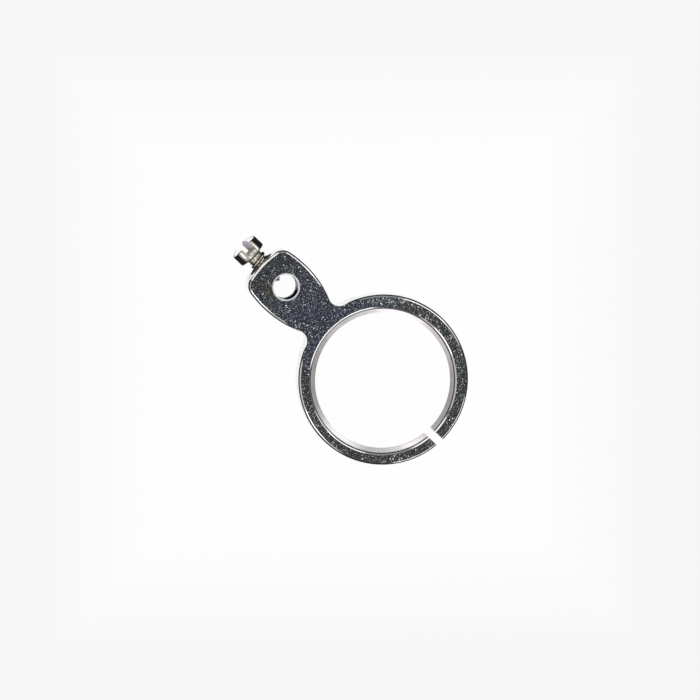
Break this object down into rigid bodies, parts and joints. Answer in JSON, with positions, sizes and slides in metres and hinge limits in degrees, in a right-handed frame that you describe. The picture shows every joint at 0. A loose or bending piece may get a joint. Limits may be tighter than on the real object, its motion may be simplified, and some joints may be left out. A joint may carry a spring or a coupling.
{
  "type": "hairspring stud carrier",
  "caption": "Split spring ring with a rounded arm. The ring clamps on the balance bridge's boss, and a slotted screw along the arm clamps the hairspring stud.",
  "frame": {"origin": "on the ring's axis, in the plane of the underside", "axes": "+Z out of the bevelled upper face, along the ring's axis; +X from the ring along the arm and its screw; +Y to the left of the arm, seen from above"},
  "size_m": [0.0056, 0.0034, 0.0006],
  "materials": {
    "dark_steel": "dark grained face, polished bevels and walls",
    "screw_steel": "bright turned steel"
  },
  "bodies": {
    "carrier": {"stud_carrier": "dark_steel"},
    "screw": {"stud_screw": "screw_steel"}
  },
  "joints": [
    {"name": "screw_travel", "type": "slide", "parent": "carrier", "child": "screw", "axis": [1, 0, 0], "range_m": [-0.0002, 0.00025]}
  ]
}
